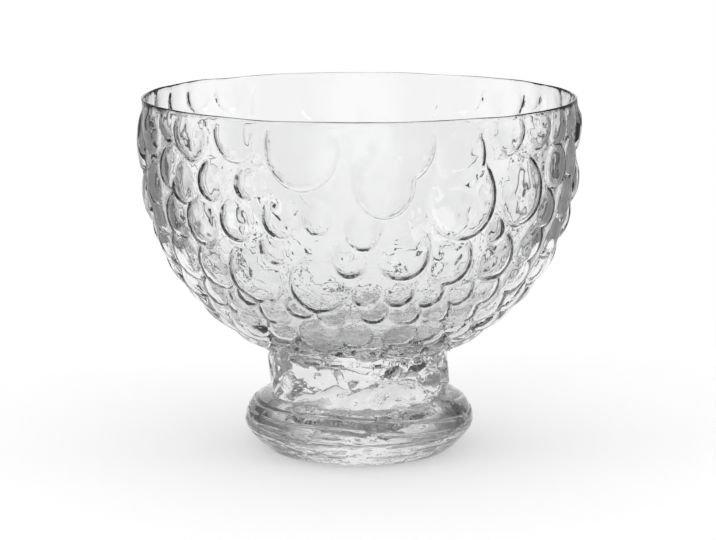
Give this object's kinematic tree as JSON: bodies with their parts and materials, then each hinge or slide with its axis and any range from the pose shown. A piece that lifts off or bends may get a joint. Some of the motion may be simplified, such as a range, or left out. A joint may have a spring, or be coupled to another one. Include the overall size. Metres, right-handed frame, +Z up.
{
  "type": "trifle bowl",
  "caption": "Footed glass trifle bowl: a round bowl with a relief of overlapping bubbles on a short solid stem and a thick bun foot.",
  "frame": {"origin": "middle of the ring under the foot, on the surface that the bowl stands on", "axes": "+Z up along the axis of the bowl, -Y towards the front of the relief"},
  "size_m": [0.2226, 0.224, 0.18],
  "materials": {
    "bowl_glass": "clear moulded glass, polished",
    "stem_glass": "clear solid glass, polished",
    "foot_glass": "clear solid glass, polished, ground under the ring"
  },
  "bodies": {
    "root": {"bowl": "bowl_glass", "stem": "stem_glass", "foot": "foot_glass"}
  },
  "joints": []
}
